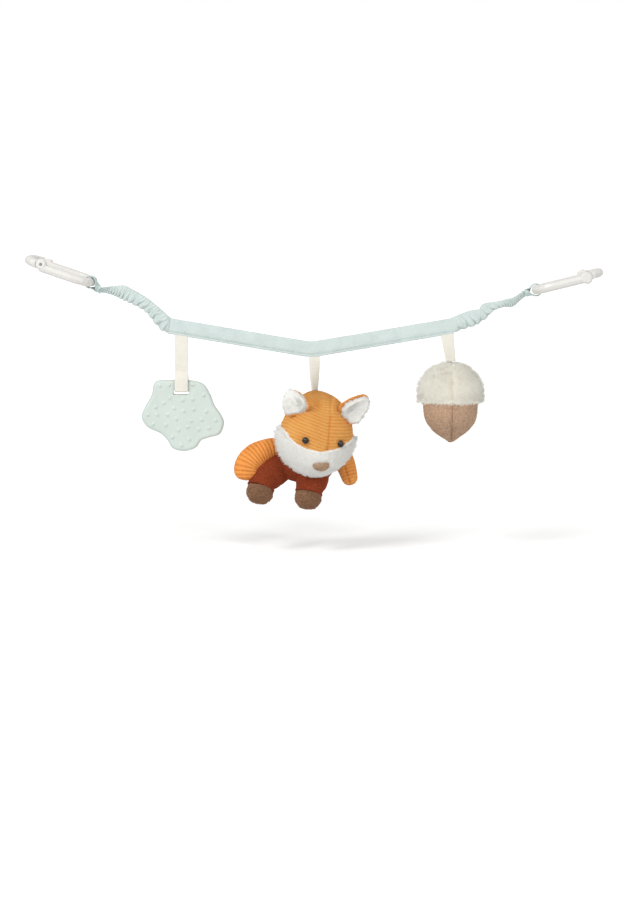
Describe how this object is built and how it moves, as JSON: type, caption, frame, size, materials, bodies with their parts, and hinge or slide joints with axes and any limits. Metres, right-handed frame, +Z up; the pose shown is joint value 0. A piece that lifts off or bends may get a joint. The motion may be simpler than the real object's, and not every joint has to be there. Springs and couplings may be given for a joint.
{
  "type": "pram chain toy",
  "caption": "Gathered elastic chain with a gated clip at each end, from which a bumpy star teether, a plush fox and a plush acorn hang on cotton tapes.",
  "frame": {"origin": "middle of the strap's kink, half way up and through the band, where the chain bends at its centre tape", "axes": "+X along the chain towards the end with the acorn, +Y to the back of the toys, +Z up, with the fox's face towards -Y"},
  "size_m": [0.4589, 0.0625, 0.2036],
  "materials": {
    "black_bead": "glossy bead",
    "cream_pile": "deep curled pile",
    "cream_tape": "matte twill tape",
    "elastic": "matte braided elastic",
    "mint_cotton": "matte woven cotton, gathered over elastic at the ends",
    "mint_silicone": "soft silicone, satin",
    "nose_thread": "matte velour",
    "orange_knit": "short brushed knit",
    "pin_steel": "plain drawn wire",
    "rust_velour": "matte velour",
    "tan_pile": "short dense pile",
    "taupe_pile": "short pile",
    "white_pile": "short white pile",
    "white_plastic": "moulded, satin gloss"
  },
  "bodies": {
    "strap": {"strap_band": "mint_cotton", "elastic_band_left": "elastic", "elastic_band_right": "elastic", "elastic_casing_left": "mint_cotton", "elastic_casing_right": "mint_cotton"},
    "loop_left": {"end_loop_left": "mint_cotton"},
    "clip_left": {"clip_frame_left": "white_plastic", "clip_pin_left": "pin_steel"},
    "gate_left": {"clip_gate_left": "white_plastic"},
    "loop_right": {"end_loop_right": "mint_cotton"},
    "clip_right": {"clip_frame_right": "white_plastic", "clip_pin_right": "pin_steel"},
    "gate_right": {"clip_gate_right": "white_plastic"},
    "teether_hanger": {"teether_tape": "cream_tape"},
    "teether": {"teether_star": "mint_silicone"},
    "fox_hanger": {"fox_tape": "cream_tape"},
    "fox_head": {"fox_crown": "orange_knit", "fox_muzzle": "white_pile", "fox_nose": "nose_thread", "fox_eye_left": "black_bead", "fox_eye_right": "black_bead", "fox_ear_back_left": "orange_knit", "fox_ear_back_right": "orange_knit", "fox_ear_front_left": "white_pile", "fox_ear_front_right": "white_pile"},
    "fox_trunk": {"fox_body": "rust_velour"},
    "fox_arm_left": {"fox_arm_left": "orange_knit"},
    "fox_leg_left": {"fox_leg_left": "rust_velour", "fox_foot_left": "taupe_pile"},
    "fox_arm_right": {"fox_arm_right": "orange_knit"},
    "fox_leg_right": {"fox_leg_right": "rust_velour", "fox_foot_right": "taupe_pile"},
    "acorn_hanger": {"acorn_tape": "cream_tape"},
    "acorn": {"acorn_cap": "cream_pile", "acorn_nut": "tan_pile"}
  },
  "joints": [
    {"name": "elastic_stretch_left", "type": "slide", "parent": "strap", "child": "loop_left", "axis": [-0.8942, -0.0138, 0.4475], "range_m": [0, 0.045], "stiffness_N_per_m": 40, "deforming": ["elastic_casing_left", "elastic_band_left"]},
    {"name": "clip_swivel_left", "type": "hinge", "parent": "loop_left", "child": "clip_left", "pos_m": [-0.1752, 0, 0.0535], "axis": [-0.0986, -0.9951, -0.0083], "range_deg": [-90, 90]},
    {"name": "gate_hinge_left", "type": "hinge", "parent": "clip_left", "child": "gate_left", "pos_m": [-0.21079, 0.00341, 0.06799], "axis": [0.0986, 0.9951, 0.0083], "range_deg": [0, 90]},
    {"name": "elastic_stretch_right", "type": "slide", "parent": "strap", "child": "loop_right", "axis": [0.9113, 0.0164, 0.4115], "range_m": [0, 0.045], "stiffness_N_per_m": 40, "deforming": ["elastic_casing_right", "elastic_band_right"]},
    {"name": "clip_swivel_right", "type": "hinge", "parent": "loop_right", "child": "clip_right", "pos_m": [0.179, 0, 0.0472], "axis": [0.0913, 0.9957, -0.0169], "range_deg": [-90, 90]},
    {"name": "gate_hinge_right", "type": "hinge", "parent": "clip_right", "child": "gate_right", "pos_m": [0.21564, -0.00316, 0.05884], "axis": [-0.0913, -0.9957, 0.0169], "range_deg": [0, 90]},
    {"name": "teether_swing", "type": "hinge", "parent": "strap", "child": "teether_hanger", "pos_m": [-0.1032, 0, 0.00988], "axis": [0.9861, 0, -0.1661], "range_deg": [-75, 75]},
    {"name": "teether_rock", "type": "hinge", "parent": "teether_hanger", "child": "teether", "pos_m": [-0.1035, 0, -0.0329], "axis": [1, 0, 0], "range_deg": [-4, 4]},
    {"name": "fox_swing", "type": "hinge", "parent": "strap", "child": "fox_hanger", "pos_m": [0.0026, 0, -0.0074], "axis": [1, 0, 0], "range_deg": [-75, 75]},
    {"name": "fox_turn", "type": "hinge", "parent": "fox_hanger", "child": "fox_head", "pos_m": [0.003, 0, -0.0332], "axis": [0, 0, 1], "range_deg": [-90, 90], "stiffness_Nm_per_rad": 0.002},
    {"name": "fox_neck", "type": "hinge", "parent": "fox_head", "child": "fox_trunk", "pos_m": [-0.001, 0.01, -0.079], "axis": [1, 0, 0], "range_deg": [-8, 8], "stiffness_Nm_per_rad": 0.2},
    {"name": "fox_shoulder_left", "type": "hinge", "parent": "fox_trunk", "child": "fox_arm_left", "pos_m": [-0.019, 0.017, -0.079], "axis": [1, 0, 0], "range_deg": [-25, 25], "stiffness_Nm_per_rad": 0.05},
    {"name": "fox_hip_left", "type": "hinge", "parent": "fox_trunk", "child": "fox_leg_left", "pos_m": [-0.022, 0.01, -0.094], "axis": [1, 0, 0], "range_deg": [-15, 15], "stiffness_Nm_per_rad": 0.08},
    {"name": "fox_shoulder_right", "type": "hinge", "parent": "fox_trunk", "child": "fox_arm_right", "pos_m": [0.013, 0.018, -0.08], "axis": [1, 0, 0], "range_deg": [-25, 25], "stiffness_Nm_per_rad": 0.05},
    {"name": "fox_hip_right", "type": "hinge", "parent": "fox_trunk", "child": "fox_leg_right", "pos_m": [0.0024, 0.011, -0.098], "axis": [1, 0, 0], "range_deg": [-15, 15], "stiffness_Nm_per_rad": 0.08},
    {"name": "acorn_swing", "type": "hinge", "parent": "strap", "child": "acorn_hanger", "pos_m": [0.1084, 0, 0.01076], "axis": [0.9861, 0, 0.1661], "range_deg": [-75, 75]},
    {"name": "acorn_turn", "type": "hinge", "parent": "acorn_hanger", "child": "acorn", "pos_m": [0.1114, 0, -0.00984], "axis": [0, 0, 1], "range_deg": [-90, 90], "stiffness_Nm_per_rad": 0.0006}
  ]
}
